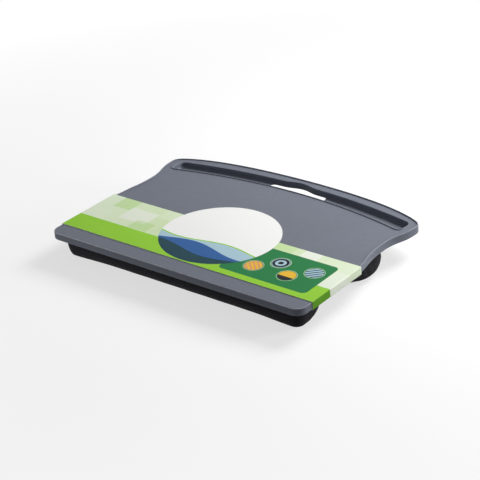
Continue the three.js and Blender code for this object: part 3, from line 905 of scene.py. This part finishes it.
def black_cloth(colours):
    """Black woven cover cloth: a lattice of threads that shows on any side, with a soft fibrous nap."""
    finish = Finish("black_cloth")
    pitch = 1.15 * MM
    a, b, c = [(axis * (TURN / pitch)).sine() for axis in finish.place()]
    weave = (a * b + b * c + c * a) / 3 + 0.5
    fibres = finish.noise(0.9 * MM, detail=4.0, roughness=0.7)
    patches = finish.noise(38 * MM, detail=3.0)
    share = (fibres.swing(1.1, middle=0.45) + weave.swing(0.35) + patches.swing(0.5) + 0.25).share()
    colour = finish.mix(share, colours.cloth, colours.nap)
    roughness = (0.9 + patches.swing(0.12)).share()
    height = weave * 0.6 + fibres * 0.4
    return finish.surface(Base_Color=colour, Roughness=roughness, Specular_IOR_Level=0.15, Sheen_Weight=0.2,
                          Sheen_Roughness=0.5, Sheen_Tint=(*colours.nap, 1.0),
                          Normal=finish.bump(height, 0.35 * MM, 0.7))


def sewing_thread(colours):
    """Twisted black thread."""
    finish = Finish("sewing_thread")
    lay = 0.5 * MM
    x, y, z = [axis * (TURN / lay) for axis in finish.place()]
    twist = (x + y + z * 2).sine() * 0.5 + 0.5
    colour = finish.mix(twist, toned(colours.thread, 0.5), colours.thread)
    return finish.surface(Base_Color=colour, Roughness=0.75, Normal=finish.bump(twist, 0.1 * MM, 0.6))


def zinc_steel(colours):
    """Bright zinc plating with a faint brushed haze."""
    finish = Finish("zinc_steel")
    haze = finish.noise(1.5 * MM, detail=3.0, roughness=0.6)
    colour = finish.mix(haze, toned(colours.zinc, 0.7), colours.zinc)
    roughness = (0.26 + haze * 0.2).share()
    return finish.surface(Base_Color=colour, Roughness=roughness, Metallic=1.0,
                          Normal=finish.bump(haze, 0.03 * MM, 0.4))


def bare_card(colours):
    """Unprinted card, on the sleeve's inside and cut edges."""
    finish = Finish("bare_card")
    fibres = finish.noise(0.8 * MM, detail=4.0, roughness=0.7)
    colour = finish.mix(fibres, toned(colours.bare_card, 0.86), colours.bare_card)
    return finish.surface(Base_Color=colour, Roughness=0.85, Normal=finish.bump(fibres, 0.05 * MM, 0.5))


class CardPrint:
    """The sleeve's print in layers: pale tints, a lime band, a panel of discs, and an oval over waves."""

    blur = 0.5 * MM
    soft_blur = 1.5 * MM
    lightening = 3.6
    bright_half = 0.7 * MM
    panel_left = 62 * MM
    panel_rounding = 9 * MM
    disc_radius = 14.5 * MM
    first_disc = 108 * MM
    disc_step = 31.5 * MM
    disc_stagger = 14 * MM
    stripe = 9 * MM
    stripe_blur = 0.2
    ring_radius = 16.1 * MM
    ring_half = 0.45 * MM
    oval_blur = 0.006
    ripple = 34.0

    def __init__(self, finish, sizes, colours):
        self.finish = finish
        self.sizes = sizes
        self.colours = colours
        self.x, self.y, _ = finish.place()
        self.band_end = SLEEVE_LOW.y + sizes.band
        self.panel_near = SLEEVE_LOW.y + sizes.panel_front
        self.panel_far = SLEEVE_LOW.y + sizes.depth - sizes.panel_rear
        self.colour = colours.pale

    def lay(self, share, colour):
        """Lays a colour over the print by a share."""
        self.colour = self.finish.mix(share, self.colour, colour)

    def ground(self):
        """Pale print, lighter towards its ends, with soft oblong tints laid over it."""
        self.lay((abs(self.x) * self.lightening).share(), self.colours.mist)
        for left, right, near, far, strength, tint in PALE_TINTS:
            outside = beyond(self.x, left, right).most(
                beyond(self.y, self.band_end + near, self.band_end + far))
            self.lay(outside.below(0.0, self.soft_blur) * strength, getattr(self.colours, tint))

    def front_band(self):
        """Lime band along the front, deeper on the side walls, with a thin bright line behind it."""
        lime = self.colours.lime
        wash = self.finish.mix(self.finish.noise(25 * MM), toned(lime, 0.96), toned(lime, 1.04))
        side_wall = 1 - abs(self.x).below(SLEEVE_HIGH.x - self.sizes.fold / 2, self.blur)
        wash = self.finish.mix(side_wall, wash, self.colours.leaf)
        self.lay(self.y.below(self.band_end, self.blur), wash)
        bright = abs(self.y - self.band_end).below(self.bright_half, self.blur)
        self.lay(bright * 0.8, self.colours.mist)

    def panel(self):
        """Dark panel on the right, with round corners."""
        rounding = self.panel_rounding
        right = SLEEVE_HIGH.x - self.sizes.panel_inset
        over_x = beyond(self.x, self.panel_left + rounding, right - rounding).most(0.0)
        over_y = beyond(self.y, self.panel_near + rounding, self.panel_far - rounding).most(0.0)
        self.lay(apart(over_x, over_y).below(rounding, self.blur), self.colours.deep_green)

    def stripes(self, run, level=0.0):
        """Stripes across a run, narrower at a lower level."""
        return (run * (TURN / self.stripe)).sine().below(level, self.stripe_blur)

    def disc_spot(self, number):
        """Wires across and back from the middle of a disc, and their distance from it."""
        stagger = self.disc_stagger if number % 2 else -self.disc_stagger
        across = self.x - (self.first_disc + number * self.disc_step)
        back = self.y - ((self.panel_near + self.panel_far) / 2 + stagger)
        return across, back, apart(across, back)

    def disc(self, inside, figure, ground_tint, figure_tint):
        """One ringed disc with a figure on its ground."""
        tone = self.finish.mix(figure, ground_tint, figure_tint)
        self.lay(inside.below(self.disc_radius, self.blur), tone)
        ring = abs(inside - self.ring_radius).below(self.ring_half, self.blur)
        self.lay(ring * 0.7, self.colours.mist)

    def discs(self):
        """Two-tone discs on the panel: slanting stripes, rings, a low half, and stripes the other way."""
        colours = self.colours
        across, back, inside = self.disc_spot(0)
        self.disc(inside, self.stripes(across + back), colours.tan, colours.amber)
        _, _, inside = self.disc_spot(1)
        self.disc(inside, self.stripes(inside), colours.ink, colours.sky)
        _, back, inside = self.disc_spot(2)
        self.disc(inside, back.below(-3 * MM, self.blur), colours.amber, colours.ink)
        across, back, inside = self.disc_spot(3)
        self.disc(inside, self.stripes(across - back, -0.3), colours.sky, colours.teal)

    def oval(self):
        """White oval, its front part filled with waves."""
        half_x = self.sizes.oval_width / 2
        half_y = self.sizes.oval_depth / 2
        middle = SLEEVE_HIGH.y - half_y
        inside = apart(self.x / half_x, (self.y - middle) / half_y)
        picture = self.colours.white
        for level, height, shift, tint in OVAL_WAVES:
            crest = (self.x * self.ripple + shift).sine() * height + (middle + level)
            picture = self.finish.mix(self.y.below(crest, self.blur), picture, getattr(self.colours, tint))
        self.lay(inside.below(1.0, self.oval_blur), picture)


def printed_card(sizes, colours):
    """Coated card with a generic print."""
    finish = Finish("printed_card")
    design = CardPrint(finish, sizes, colours)
    design.ground()
    design.front_band()
    design.panel()
    design.discs()
    design.oval()
    fibres = finish.noise(1.4 * MM, detail=4.0, roughness=0.65)
    coat = finish.noise(30 * MM)
    roughness = (0.52 + fibres.swing(0.12) + coat.swing(0.1)).share()
    return finish.surface(Base_Color=design.colour, Roughness=roughness, Specular_IOR_Level=0.1,
                          Normal=finish.bump(fibres, 0.03 * MM, 0.35))


# Bolsters

class Bolster:
    """Form of one bead-filled bolster, from its box in the frame."""

    corner_steps = 8
    side_steps = 20
    end_steps = 8
    height_steps = 8
    landing = math.radians(12)      # where the ground cuts off the round side

    def __init__(self, sizes, end):
        self.sizes = sizes
        self.low, self.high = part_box(end + "_bolster_cover")
        self.hem_level = self.high.z
        self.half_length = (self.high.x - self.low.x) / 2
        self.half_depth = (self.high.y - self.low.y) / 2
        self.middle = (self.low.y + self.high.y) / 2
        if end == "front":
            self.corners = (sizes.front_corner, sizes.rear_corner)
            self.feet = (sizes.front_foot, sizes.front_back_foot)
            self.bulge = sizes.front_bulge
            self.bow = sizes.front_draw_in
        else:
            full_round = self.half_depth - sizes.rear_end_flat / 2
            self.corners = (full_round, full_round)
            self.feet = (sizes.rear_foot, sizes.rear_foot)
            self.bulge = sizes.rear_bulge
            self.bow = sizes.rear_draw_in

    def ring(self, inward, rear_inward):
        """Outline at some inset from the fullest line, with sides that bow in between the corners."""
        half_x = self.half_length - inward
        near = inward - self.half_depth
        far = self.half_depth - rear_inward
        front, rear = [max(corner - inward, self.sizes.least_corner) for corner in self.corners]
        shares = np.arange(self.side_steps) / self.side_steps
        half = [(t * (half_x - front), near + self.bow * (1 - t * t)) for t in shares]
        half += turn_up(half_x, near, front, self.corner_steps)
        for t in np.linspace(-1, 1, self.end_steps + 1)[1:-1]:
            y = np.interp(t, (-1, 1), (near + front, far - rear))
            half.append((half_x - self.sizes.end_draw_in * (1 - t * t), y))
        half += turn_in(half_x, far, rear, self.corner_steps)
        half += [(t * (half_x - rear), far - self.bow * (1 - t * t)) for t in shares[::-1]]
        return mirrored(half) + (0, self.middle)

    def side(self):
        """Inset, inset at the rear, and height of each ring from the ground to the hem."""
        for t in np.linspace(self.landing, QUARTER, self.height_steps):
            spread = 1 - math.sin(t)
            yield self.feet[0] * spread, self.feet[1] * spread, self.bulge * (1 - math.cos(t))
        for t in np.linspace(0, QUARTER, self.height_steps)[1:]:
            inward = self.sizes.hem_inset * (1 - math.cos(t))
            yield inward, inward, self.bulge + (self.hem_level - self.bulge) * math.sin(t)

    def blank(self, name):
        """Closed form of the bolster, with room left all round for it to fill out."""
        room = self.sizes.swell
        return solid(name, [
            (self.ring(inward + room, rear_inward + room), height)
            for inward, rear_inward, height in self.side()
        ])


def points_of(mesh):
    return np.array([vert.co for vert in mesh.vertices])


def move_points(piece, spots):
    piece.data.vertices.foreach_set("co", spots.astype(np.float32).ravel())
    piece.data.update()


def fill_out(piece, bolster):
    """Swells a closed cover with beads: cloth under pressure, held at its hem, with a limit to its moves."""
    hem_depth = 6 * MM
    hem_fade = 5 * MM
    frames = 20
    scene = bpy.context.scene
    start = points_of(piece.data)
    held = piece.vertex_groups.new(name="hem")
    for i, height in enumerate(start[:, 2]):
        hold = (height - (bolster.hem_level - hem_depth)) / hem_fade
        if hold > 0:
            held.add([i], min(hold, 1.0), "REPLACE")
    cloth = piece.modifiers.new("cloth", "CLOTH")
    cloth.settings.vertex_group_mass = held.name
    cloth.settings.use_pressure = True
    cloth.settings.uniform_pressure_force = 4
    cloth.settings.effector_weights.gravity = 0
    cloth.settings.quality = 5
    cloth.point_cache.frame_start = 1
    cloth.point_cache.frame_end = frames
    for number in range(1, frames + 1):
        scene.frame_set(number)
    filled = piece.evaluated_get(bpy.context.evaluated_depsgraph_get())
    moved = points_of(filled.to_mesh()) - start
    filled.to_mesh_clear()
    piece.modifiers.clear()
    scene.frame_set(1)
    reach = np.linalg.norm(moved, axis=1)
    moved *= np.minimum(1.0, bolster.sizes.cap / np.maximum(reach, DOUBLES))[:, None]
    move_points(piece, start + moved)


def settle(piece, bolster):
    """Gathers the cloth under the hem, fits the cover to its room and rests it flat on the ground."""
    wander = 0.35 * bolster.half_length
    gathers_from = 0.55 * bolster.hem_level
    gathers_rise = 0.3 * bolster.hem_level
    hem_ease = 2 * MM
    floor_ease = 8 * MM
    pucker = bolster.sizes.pucker
    lump = 0.15 * pucker
    spots = points_of(piece.data)
    normals = np.array([vert.normal for vert in piece.data.vertices])
    across = spots[:, 0]
    back = spots[:, 1] - bolster.middle
    height = spots[:, 2]

    # Two waves of uneven pitch gather the cloth along a line that wanders round the cover
    around = np.arctan2(back / bolster.half_depth, across / bolster.half_length)
    run = across + back + wander * np.sin(3 * around)
    turn = TURN / bolster.sizes.pucker_pitch
    gathers = np.sin(turn * run) * 0.6 + np.sin(turn * 1.7 * run + 1.3) * 0.4

    # The beads push out low lumps some 5 to 15 cm long
    lumps = np.sin(across * 61 + 0.7) * np.sin(back * 83 + 2.1) + np.sin(across * 113 + back * 41)

    near_hem = np.clip((height - gathers_from) / gathers_rise, 0, 1)
    near_hem *= np.clip((bolster.hem_level - height) / hem_ease, 0, 1)
    off_floor = np.clip(height / floor_ease, 0, 1)
    shift = pucker * gathers * near_hem + lump * lumps * off_floor * (1 - near_hem)
    spots += normals * shift[:, None]
    spots[:, 2] = np.clip(spots[:, 2], 0.0, bolster.hem_level)
    for axis in (0, 1):
        row = spots[:, axis]
        spots[:, axis] = np.interp(row, (row.min(), row.max()), (bolster.low[axis], bolster.high[axis]))
    move_points(piece, spots)


def make_bolster(bolster, name):
    piece = bolster.blank(name)
    even = piece.modifiers.new("even", "REMESH")
    even.mode = "VOXEL"
    even.voxel_size = bolster.sizes.voxel
    flatten(piece)
    fill_out(piece, bolster)
    finer = piece.modifiers.new("finer", "SUBSURF")
    finer.levels = finer.render_levels = 1
    flatten(piece)
    settle(piece, bolster)
    return smooth(piece, degrees=60)


def hem_stitches(piece, bolster):
    """Place, outward direction and line of each stitch round a bolster, just under its hem."""
    sizes = bolster.sizes
    surface = BVHTree.FromObject(piece, bpy.context.evaluated_depsgraph_get())
    level = bolster.hem_level - sizes.stitch_drop
    ring = bolster.ring(0, 0)
    closed = np.vstack([ring, ring[:1]])
    run = np.concatenate([[0], np.cumsum(np.linalg.norm(np.diff(closed, axis=0), axis=1))])
    whole = run[-1]

    def along(distance):
        x, y = [np.interp(distance % whole, run, closed[:, axis]) for axis in (0, 1)]
        return Vector((x, y, level))

    for distance in np.linspace(0, whole, int(whole / sizes.stitch_pitch), endpoint=False):
        outside = along(distance)
        spot, normal, _, _ = surface.find_nearest(outside)
        yield spot, normal, (along(distance + 1 * MM) - outside).normalized()


# Geometry Nodes patterns

def copies_pattern():
    """Copies of one object at points."""
    pattern = Pattern("copies_at_points", Copy="Object", Finish="Material")
    copy = pattern.input("Copy")
    return pattern.finish(pattern.node("GeometryNodeObjectInfo", inputs={"Object": copy}, output="Geometry"))


def rib_pattern():
    """Upright ribs at points, each as large as its own span."""
    pattern = Pattern("ribs_at_points", Finish="Material")
    return pattern.finish(pattern.node("GeometryNodeMeshCube"), Scale=pattern.vectors("span"))


def stitch_pattern():
    """Stitches at points, each lying along its line and facing outwards."""
    pattern = Pattern("stitches_at_points", Length="Float", Thickness="Float", Finish="Material")
    bead = pattern.node("GeometryNodeMeshUVSphere", inputs={"Segments": 6, "Rings": 5, "Radius": 0.5})
    thickness = pattern.input("Thickness")
    size = pattern.node("ShaderNodeCombineXYZ", inputs={
        "X": pattern.input("Length"), "Y": thickness, "Z": thickness})
    upright = pattern.node("FunctionNodeAlignRotationToVector", {"axis": "Z"}, {
        "Vector": pattern.vectors("outward")})
    lying = pattern.node("FunctionNodeAlignRotationToVector", {"axis": "X", "pivot_axis": "Z"}, {
        "Rotation": upright, "Vector": pattern.vectors("line")})
    return pattern.finish(bead, Rotation=lying, Scale=size)


# Sleeve

def make_sleeve(sizes):
    """The folded card: flaps under the rim, side walls, and a top that ends in the oval tab at the rear."""
    rows = 36
    flap_steps = 4
    fold_steps = 5
    wall_steps = 4
    top_steps = 15
    crown_steps = 60
    front = SLEEVE_LOW.y
    rear = front + sizes.depth
    half = SLEEVE_HIGH.x
    low = SLEEVE_LOW.z
    high = SLEEVE_HIGH.z
    fold = sizes.fold
    oval_x = sizes.oval_width / 2
    oval_y = sizes.oval_depth / 2
    oval_middle = SLEEVE_HIGH.y - oval_y
    shoulder = oval_x * math.sqrt(1 - ((rear - oval_middle) / oval_y) ** 2)
    limit = math.asin(shoulder / oval_x)

    # The card's section from the right flap over the top to the left one
    flap = half - sizes.tuck * np.linspace(1, 0, flap_steps + 1)
    section = [(x, low) for x in flap if x < half - fold]
    section += turn_up(half, low, fold, fold_steps)
    section += [(half, z) for z in np.linspace(low + fold, high - fold, wall_steps + 1)[1:-1]]
    section += turn_in(half, high, fold, fold_steps)
    section += [(x, high) for x in np.linspace(half - fold, shoulder, top_steps + 1)[1:]]
    turns = np.linspace(limit, -limit, crown_steps + 1)
    crown = [(oval_x * math.sin(t), high) for t in turns[1:-1]]
    section += crown + [(-x, z) for x, z in reversed(section)]

    verts = []
    faces = []
    for x, z in section:
        end = rear
        if z == high and abs(x) < shoulder:
            end = oval_middle + oval_y * math.sqrt(1 - (x / oval_x) ** 2)
        for y in front + (end - front) * np.arange(rows + 1) / rows:
            past = max(y - rear, 0) / (SLEEVE_HIGH.y - rear)
            verts.append((x, y, z + sizes.tab_lift * past * past))
    for column in range(len(section) - 1):
        for i in range(rows):
            a = column * (rows + 1) + i
            faces.append((a, a + 1, a + rows + 2, a + rows + 1))
    mesh = bpy.data.meshes.new("sleeve_card")
    mesh.from_pydata(verts, [], faces)
    piece = link(bpy.data.objects.new("sleeve_card", mesh))
    thick = piece.modifiers.new("thick", "SOLIDIFY")
    thick.thickness = sizes.card
    thick.offset = -1
    thick.use_even_offset = True
    thick.material_offset = thick.material_offset_rim = 1
    return piece


# Stage

def aim_camera(stage):
    """Puts the camera where its angles and distance say, looking at the point that it aims at."""
    az, el, roll = stage.azimuth, stage.elevation, stage.roll
    back = Vector((math.sin(az) * math.cos(el), -math.cos(az) * math.cos(el), math.sin(el)))
    right = Vector((math.cos(az), math.sin(az), 0))
    up = back.cross(right)
    across = right * math.cos(roll) + up * math.sin(roll)
    upward = up * math.cos(roll) - right * math.sin(roll)
    camera = link(bpy.data.objects.new("camera", bpy.data.cameras.new("camera")))
    camera.data.lens = stage.lens
    camera.data.sensor_width = 36
    turn = Matrix((across, upward, back)).transposed().to_4x4()
    camera.matrix_world = Matrix.Translation(Vector(stage.aim) + back * stage.distance) @ turn
    bpy.context.scene.camera = camera


def make_lamp(name, place, size, watts):
    """A square lamp that the camera doesn't see."""
    data = bpy.data.lights.new(name, "AREA")
    data.size = size
    data.energy = watts
    lamp = link(bpy.data.objects.new(name, data))
    lamp.location = place
    lamp.rotation_euler = Vector(place).to_track_quat("Z", "Y").to_euler()
    lamp.visible_camera = False


def seen_directly(sheet):
    """1 for the rays that should see a white studio."""
    rays = sheet.node("ShaderNodeLightPath").socket.node.outputs
    camera, glossy, through = [Wire(sheet, rays[name]) for name in (
        "Is Camera Ray", "Is Glossy Ray", "Is Transmission Ray")]
    return (camera + glossy + through).share()


def make_floor(colours):
    """A floor that looks pale with a shadow under the desk, and turns white away from it."""
    half = 6.0
    drop = 0.2 * MM
    shadow = 0.36
    glow = 0.66
    white_from = 0.4
    white_run = 0.8
    shell = Shell()
    shell.fill(shell.ring([(-half, -half), (half, -half), (half, half), (-half, half)], -drop))
    floor = shell.piece("floor")
    finish = Finish("studio_floor")
    matte = finish.node("ShaderNodeBsdfDiffuse", inputs={"Color": (*colours.floor, 1)})
    faint = finish.node("ShaderNodeBsdfDiffuse", inputs={"Color": (shadow, shadow, shadow, 1)})
    lift = finish.node("ShaderNodeEmission", inputs={"Color": WHITE, "Strength": glow})
    lit = finish.node("ShaderNodeAddShader", inputs={0: faint, 1: lift})
    white = finish.node("ShaderNodeEmission", inputs={"Color": WHITE, "Strength": 1.0})
    x, y, _ = finish.place()
    away = ((apart(x, y) - white_from) / white_run).share()
    seen = finish.node("ShaderNodeMixShader", inputs={0: away, 1: lit, 2: white})
    shown = finish.node("ShaderNodeMixShader", inputs={0: seen_directly(finish), 1: matte, 2: seen})
    finish.node("ShaderNodeOutputMaterial", inputs={"Surface": shown})
    return dress(floor, finish.material)


def make_world():
    """A sky that lights the desk a little and looks white."""
    light = 0.11
    world = bpy.data.worlds.new("studio")
    world.use_nodes = True
    sheet = NodeSheet(world.node_tree)
    sheet.tree.nodes.clear()
    strength = seen_directly(sheet) * (1 - light) + light
    sky = sheet.node("ShaderNodeBackground", inputs={"Color": WHITE, "Strength": strength})
    sheet.node("ShaderNodeOutputWorld", inputs={"Surface": sky})
    bpy.context.scene.world = world


# Operators

class LAP_DESK_OT_stage(bpy.types.Operator):
    """Sets up the camera, the lights and the pale floor"""

    bl_idname = "lap_desk.stage"
    bl_label = "Stage"
    bl_options = {"REGISTER", "UNDO"}

    def execute(self, context):
        settings = context.scene.lap_desk
        stage = settings.stage
        context.scene.view_settings.view_transform = "Standard"
        aim_camera(stage)
        make_lamp("key", stage.key_place, stage.key_size, stage.key_power)
        make_lamp("side", stage.side_place, stage.side_size, stage.side_power)
        make_lamp("fill", stage.fill_place, stage.fill_size, stage.fill_power)
        floor = make_floor(settings.colours)
        make_world()
        return {"FINISHED"}


class LAP_DESK_OT_tray(bpy.types.Operator):
    """Makes the tray with its trough, hand slot, ribs and screw bosses"""

    bl_idname = "lap_desk.tray"
    bl_label = "Tray"
    bl_options = {"REGISTER", "UNDO"}

    def execute(self, context):
        settings = context.scene.lap_desk
        plastic = slate_plastic(settings.colours)
        tray = dress(make_tray(settings.tray), plastic)
        places, spans = rib_boxes(settings.tray)
        ribs = rib_pattern().grow("tray_ribs", places, {"span": spans}, Finish=plastic)
        boss = make_boss(settings.tray)
        bosses = copies_pattern().grow("tray_bosses", screw_places(), Copy=boss, Finish=plastic)
        bpy.data.objects.remove(boss)
        for piece in (tray, ribs, bosses):
            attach(piece, "desk")
        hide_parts("tray")
        return {"FINISHED"}


class LAP_DESK_OT_base_panel(bpy.types.Operator):
    """Makes the base panel, with eased edges and screw holes"""

    bl_idname = "lap_desk.base_panel"
    bl_label = "Base Panel"
    bl_options = {"REGISTER", "UNDO"}

    def execute(self, context):
        settings = context.scene.lap_desk
        panel = dress(make_panel(), black_plastic(settings.colours))
        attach(panel, "desk")
        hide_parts("base_panel")
        return {"FINISHED"}


class LAP_DESK_OT_screws(bpy.types.Operator):
    """Makes the screws that hold the base panel"""

    bl_idname = "lap_desk.screws"
    bl_label = "Screws"
    bl_options = {"REGISTER", "UNDO"}

    def execute(self, context):
        settings = context.scene.lap_desk
        blank = make_screw()
        steel = zinc_steel(settings.colours)
        screws = copies_pattern().grow("panel_screws", screw_places(), Copy=blank, Finish=steel)
        bpy.data.objects.remove(blank)
        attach(screws, "desk")
        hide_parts(*SCREW_NODES)
        return {"FINISHED"}


class LAP_DESK_OT_bolsters(bpy.types.Operator):
    """Makes the two bead-filled bolsters and the stitching under their hems"""

    bl_idname = "lap_desk.bolsters"
    bl_label = "Bolsters"
    bl_options = {"REGISTER", "UNDO"}

    def execute(self, context):
        settings = context.scene.lap_desk
        sizes = settings.bolster
        cloth = black_cloth(settings.colours)
        seams = []
        for end in ("front", "rear"):
            bolster = Bolster(sizes, end)
            piece = dress(make_bolster(bolster, end + "_bolster"), cloth)
            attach(piece, "desk")
            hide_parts(end + "_bolster_cover", end + "_bolster_fill")
            seams.extend(hem_stitches(piece, bolster))
        places, outward, line = zip(*seams)
        stitches = stitch_pattern().grow(
            "hem_stitches", places, {"outward": outward, "line": line},
            Length=sizes.stitch, Thickness=sizes.thread, Finish=sewing_thread(settings.colours),
        )
        smooth(stitches, degrees=80)
        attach(stitches, "desk")
        return {"FINISHED"}


class LAP_DESK_OT_sleeve(bpy.types.Operator):
    """Makes the printed card sleeve"""

    bl_idname = "lap_desk.sleeve"
    bl_label = "Card Sleeve"
    bl_options = {"REGISTER", "UNDO"}

    def execute(self, context):
        settings = context.scene.lap_desk
        sleeve = make_sleeve(settings.sleeve)
        dress(sleeve, printed_card(settings.sleeve, settings.colours), bare_card(settings.colours))
        smooth(flatten(sleeve), degrees=40)
        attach(sleeve, "sleeve")
        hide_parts("card_sleeve")
        return {"FINISHED"}


class LAP_DESK_PT_pieces(bpy.types.Panel):
    """Lists the pieces in the 3D view's sidebar"""

    bl_idname = "LAP_DESK_PT_pieces"
    bl_label = "Lap Desk"
    bl_space_type = "VIEW_3D"
    bl_region_type = "UI"
    bl_category = "Lap Desk"

    def draw(self, context):
        for step in STEPS:
            self.layout.operator(step.bl_idname)


STEPS = (
    LAP_DESK_OT_stage,
    LAP_DESK_OT_tray,
    LAP_DESK_OT_base_panel,
    LAP_DESK_OT_screws,
    LAP_DESK_OT_bolsters,
    LAP_DESK_OT_sleeve,
)
CLASSES = (
    LapDeskTraySizes,
    LapDeskBolsterSizes,
    LapDeskSleeveSizes,
    LapDeskColours,
    LapDeskStage,
    LapDeskSettings,
    *STEPS,
    LAP_DESK_PT_pieces,
)


def register():
    for cls in CLASSES:
        bpy.utils.register_class(cls)
    bpy.types.Scene.lap_desk = PointerProperty(type=LapDeskSettings)


def unregister():
    del bpy.types.Scene.lap_desk
    for cls in reversed(CLASSES):
        bpy.utils.unregister_class(cls)


def main():
    register()
    bpy.ops.lap_desk.stage()
    bpy.ops.lap_desk.tray()
    bpy.ops.lap_desk.base_panel()
    bpy.ops.lap_desk.screws()
    bpy.ops.lap_desk.bolsters()
    bpy.ops.lap_desk.sleeve()


if __name__ == "__main__":
    main()
